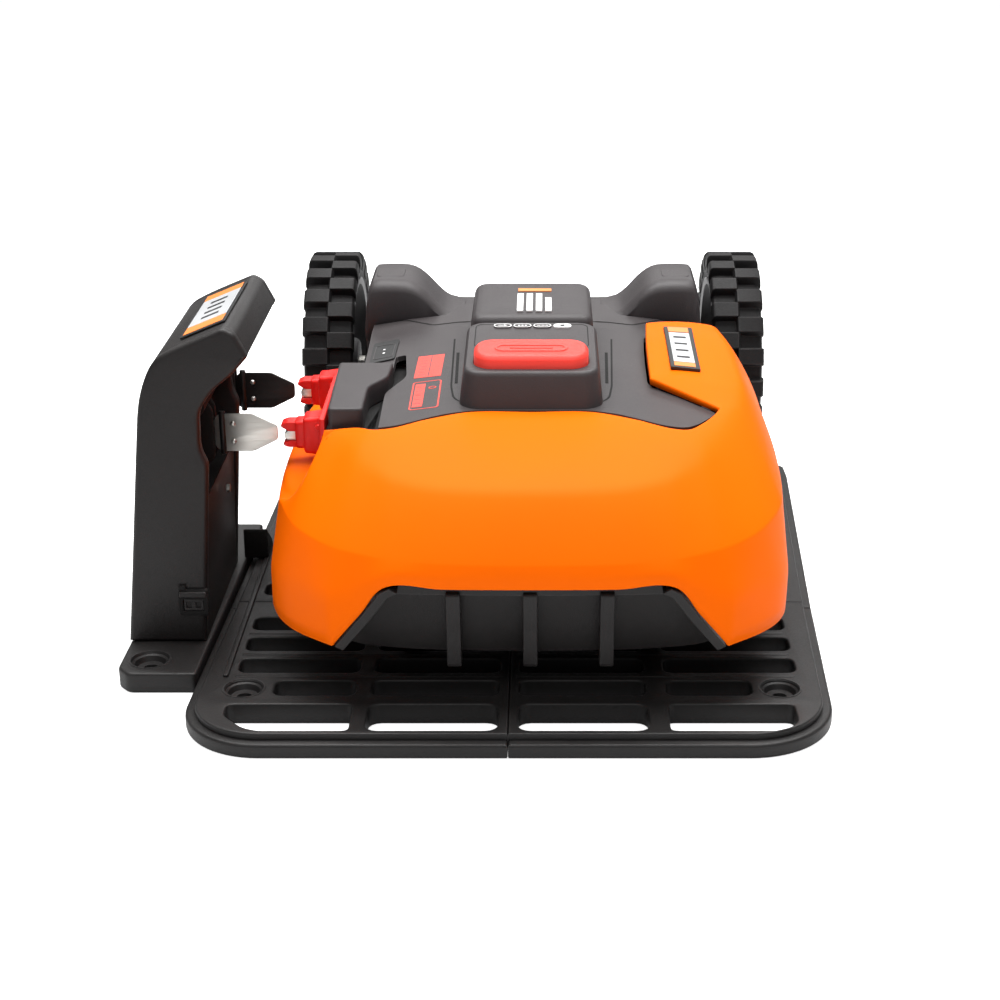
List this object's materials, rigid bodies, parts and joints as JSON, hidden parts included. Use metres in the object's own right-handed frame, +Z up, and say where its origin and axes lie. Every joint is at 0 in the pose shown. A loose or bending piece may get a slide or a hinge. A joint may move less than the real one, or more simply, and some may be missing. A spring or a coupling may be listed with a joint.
{
  "type": "robotic lawn mower",
  "caption": "Low robotic lawn mower with a curved orange shell, lugged drive wheels and a stop button, parked on a slatted charging base with a contact tower.",
  "frame": {"origin": "on the ground under the middle of the drive wheel axle, on the mower's centre plane", "axes": "+X to the right seen from the mower's front, +Y towards the mower's rear, +Z up"},
  "size_m": [0.537, 0.6303, 0.26],
  "materials": {
    "base_plastic": "moulded, fine grain",
    "grey_plastic": "moulded, satin",
    "orange_plastic": "satin gloss",
    "red_plastic": "satin",
    "tyre": "lugged rubber",
    "steel": "satin",
    "dark_steel": "blackened",
    "circuit": "solder mask",
    "badge": "silver paint",
    "key_white": "satin"
  },
  "bodies": {
    "charging_base": {"base_plate_rear": "base_plastic", "base_plate_front_left": "base_plastic", "base_plate_front_right": "base_plastic", "tower_foot": "base_plastic", "tower_housing": "base_plastic", "tower_circuit_board": "circuit", "tower_badge": "badge", "connector_socket": "base_plastic", "contact_holder": "base_plastic", "tower_rear_gusset": "base_plastic"},
    "dock_contact_front": {"contact_blade_front": "steel"},
    "dock_contact_rear": {"contact_blade_rear": "dark_steel"},
    "mower": {"orange_shell": "orange_plastic", "top_deck": "grey_plastic", "rear_cowl": "grey_plastic", "stop_housing": "grey_plastic", "stop_switch": "base_plastic", "battery_pack": "base_plastic", "contact_module_cover": "grey_plastic", "contact_module_body": "base_plastic", "mower_contact_front": "red_plastic", "mower_contact_rear": "red_plastic", "mower_contact_strip_front": "steel", "mower_contact_strip_rear": "steel", "indicator_pad": "base_plastic", "tail_badge": "badge", "lower_chassis": "base_plastic", "front_skirt": "base_plastic", "drive_gearbox_left": "base_plastic", "drive_gearbox_right": "base_plastic", "blade_motor": "steel", "main_circuit_board": "circuit"},
    "disc": {"blade_disc": "base_plastic", "blade_screw_1": "steel", "blade_screw_2": "steel", "blade_screw_3": "steel"},
    "stop_button": {"stop_button": "red_plastic"},
    "battery_lid": {"battery_cover": "grey_plastic"},
    "drive_wheel_left": {"tyre_left": "tyre", "wheel_hub_left": "grey_plastic", "drive_shaft_left": "steel"},
    "caster_left": {"caster_fork_left": "base_plastic", "caster_axle_left": "steel"},
    "caster_roller_left": {"caster_wheel_left": "tyre"},
    "drive_wheel_right": {"tyre_right": "tyre", "wheel_hub_right": "grey_plastic", "drive_shaft_right": "steel"},
    "caster_right": {"caster_fork_right": "base_plastic", "caster_axle_right": "steel"},
    "caster_roller_right": {"caster_wheel_right": "tyre"},
    "cutter_1": {"cutter_blade_1": "steel"},
    "cutter_2": {"cutter_blade_2": "steel"},
    "cutter_3": {"cutter_blade_3": "steel"},
    "key_1": {"key_1": "base_plastic"},
    "key_2": {"key_2": "base_plastic"},
    "key_3": {"key_3": "base_plastic"},
    "key_4": {"key_4": "key_white"}
  },
  "joints": [
    {"name": "contact_blade_flex_front", "type": "hinge", "parent": "charging_base", "child": "dock_contact_front", "pos_m": [-0.234, -0.307, 0.156], "axis": [0, 0, 1], "range_deg": [-12, 12], "stiffness_Nm_per_rad": 0.6},
    {"name": "contact_blade_flex_rear", "type": "hinge", "parent": "charging_base", "child": "dock_contact_rear", "pos_m": [-0.234, -0.204, 0.156], "axis": [0, 0, 1], "range_deg": [-12, 12], "stiffness_Nm_per_rad": 0.6},
    {"name": "mower_leaves_base", "type": "slide", "parent": "charging_base", "child": "mower", "axis": [0, 1, 0], "range_m": [0, 0.6]},
    {"name": "drive_wheel_spin_left", "type": "hinge", "parent": "mower", "child": "drive_wheel_left", "pos_m": [-0.1785, 0, 0.1172], "axis": [1, 0, 0], "continuous": true},
    {"name": "caster_swivel_left", "type": "hinge", "parent": "mower", "child": "caster_left", "pos_m": [-0.088, -0.388, 0.1], "axis": [0, 0, 1], "continuous": true},
    {"name": "caster_roll_left", "type": "hinge", "parent": "caster_left", "child": "caster_roller_left", "pos_m": [-0.088, -0.372, 0.0474], "axis": [1, 0, 0], "continuous": true},
    {"name": "drive_wheel_spin_right", "type": "hinge", "parent": "mower", "child": "drive_wheel_right", "pos_m": [0.1785, 0, 0.1172], "axis": [1, 0, 0], "continuous": true},
    {"name": "caster_swivel_right", "type": "hinge", "parent": "mower", "child": "caster_right", "pos_m": [0.088, -0.388, 0.1], "axis": [0, 0, 1], "continuous": true},
    {"name": "caster_roll_right", "type": "hinge", "parent": "caster_right", "child": "caster_roller_right", "pos_m": [0.088, -0.372, 0.0474], "axis": [1, 0, 0], "continuous": true},
    {"name": "blade_disc_spin", "type": "hinge", "parent": "mower", "child": "disc", "pos_m": [0, -0.215, 0.045], "axis": [0, 0, 1], "continuous": true},
    {"name": "cutter_swing_1", "type": "hinge", "parent": "disc", "child": "cutter_1", "pos_m": [0, -0.149, 0.0397], "axis": [0, 0, 1], "continuous": true},
    {"name": "cutter_swing_2", "type": "hinge", "parent": "disc", "child": "cutter_2", "pos_m": [-0.05716, -0.248, 0.0397], "axis": [0, 0, 1], "continuous": true},
    {"name": "cutter_swing_3", "type": "hinge", "parent": "disc", "child": "cutter_3", "pos_m": [0.05716, -0.248, 0.0397], "axis": [0, 0, 1], "continuous": true},
    {"name": "stop_button_press", "type": "slide", "parent": "mower", "child": "stop_button", "axis": [0, 0, -1], "range_m": [0, 0.004], "stiffness_N_per_m": 900},
    {"name": "key_press_1", "type": "slide", "parent": "mower", "child": "key_1", "axis": [0, 0, -1], "range_m": [0, 0.0008], "stiffness_N_per_m": 1500},
    {"name": "key_press_2", "type": "slide", "parent": "mower", "child": "key_2", "axis": [0, 0, -1], "range_m": [0, 0.0008], "stiffness_N_per_m": 1500},
    {"name": "key_press_3", "type": "slide", "parent": "mower", "child": "key_3", "axis": [0, 0, -1], "range_m": [0, 0.0008], "stiffness_N_per_m": 1500},
    {"name": "key_press_4", "type": "slide", "parent": "mower", "child": "key_4", "axis": [0, 0, -1], "range_m": [0, 0.0008], "stiffness_N_per_m": 1500},
    {"name": "battery_cover_open", "type": "hinge", "parent": "mower", "child": "battery_lid", "pos_m": [0, -0.121, 0.19], "axis": [-1, 0, 0], "range_deg": [0, 70]}
  ]
}
